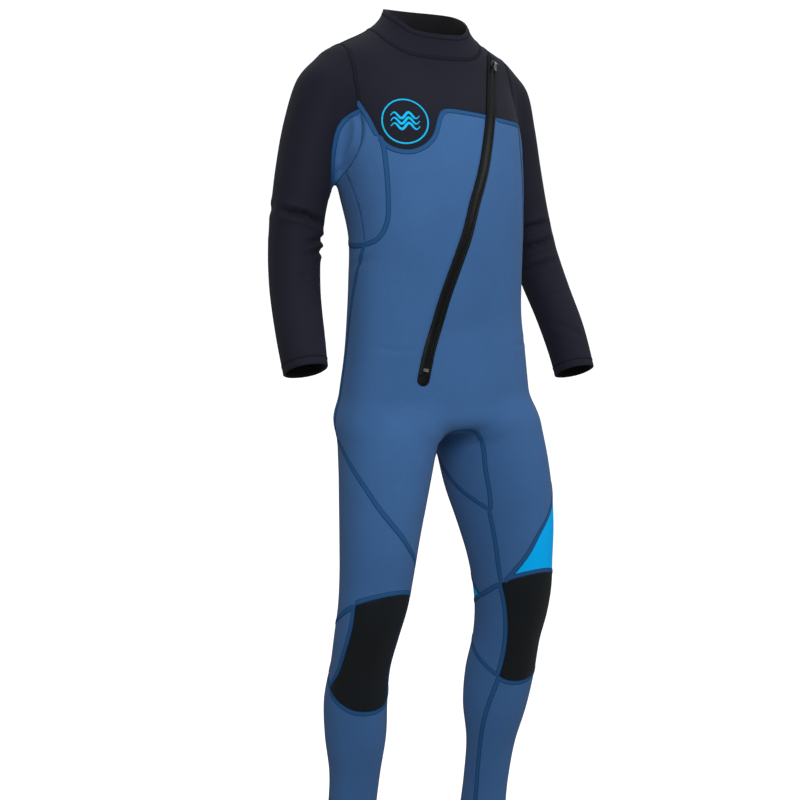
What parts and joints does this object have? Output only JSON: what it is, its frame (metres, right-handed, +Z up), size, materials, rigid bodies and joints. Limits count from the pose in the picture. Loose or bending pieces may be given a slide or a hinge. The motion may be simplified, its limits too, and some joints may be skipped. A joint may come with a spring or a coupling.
{
  "type": "wetsuit",
  "caption": "Long-sleeved full wetsuit in black, blue and cyan neoprene with a slanting front zip, open at the neck, cuffs and ankles, in its worn hollow form.",
  "frame": {"origin": "where the wearer's shoulders hold the suit: midway between the armholes, in the hollow just below the base of the collar", "axes": "+Z up along the body, the suit's longest way; -Y towards the front with the zip; +X towards the wearer's left sleeve"},
  "size_m": [0.5728, 0.2646, 1.4596],
  "materials": {
    "black_neoprene": "fine knitted nylon over foam, matt",
    "blue_neoprene": "fine knitted nylon over foam, matt",
    "cyan_neoprene": "fine knitted nylon over foam, matt",
    "knee_pad": "smooth embossed coating, satin",
    "zip_tape": "woven tape and moulded coil",
    "slider_metal": "black coated metal",
    "badge_print": "thin raised print"
  },
  "bodies": {
    "suit": {"sleeve_right": "black_neoprene", "underarm_right": "blue_neoprene", "sleeve_left": "black_neoprene", "underarm_left": "blue_neoprene", "zip_tape": "zip_tape", "collar": "black_neoprene", "yoke_front_right": "black_neoprene", "yoke_front_left": "black_neoprene", "yoke_back": "black_neoprene", "body_front": "blue_neoprene", "body_back": "blue_neoprene", "gusset": "blue_neoprene", "side_front_right": "blue_neoprene", "side_back_right": "blue_neoprene", "lower_thigh_right": "blue_neoprene", "inner_thigh_right": "blue_neoprene", "knee_pad_right": "knee_pad", "knee_back_right": "blue_neoprene", "shin_right": "blue_neoprene", "calf_right": "blue_neoprene", "side_front_left": "blue_neoprene", "side_back_left": "blue_neoprene", "lower_thigh_left": "cyan_neoprene", "inner_thigh_left": "blue_neoprene", "knee_pad_left": "knee_pad", "knee_back_left": "blue_neoprene", "shin_left": "blue_neoprene", "calf_left": "blue_neoprene", "zip_coil": "zip_tape", "zip_top_end": "zip_tape", "zip_slider": "slider_metal", "zip_lower_end": "slider_metal", "badge_ring": "badge_print", "badge_wave_1": "badge_print", "badge_wave_2": "badge_print", "badge_wave_3": "badge_print"},
    "pull_tab": {"zip_pull_tab": "slider_metal"}
  },
  "joints": [
    {"name": "pull_tab_hinge", "type": "hinge", "parent": "suit", "child": "pull_tab", "pos_m": [0.10621, -0.06789, 0.01794], "axis": [-0.8873, -0.0419, 0.4593], "range_deg": [0, 165]}
  ]
}
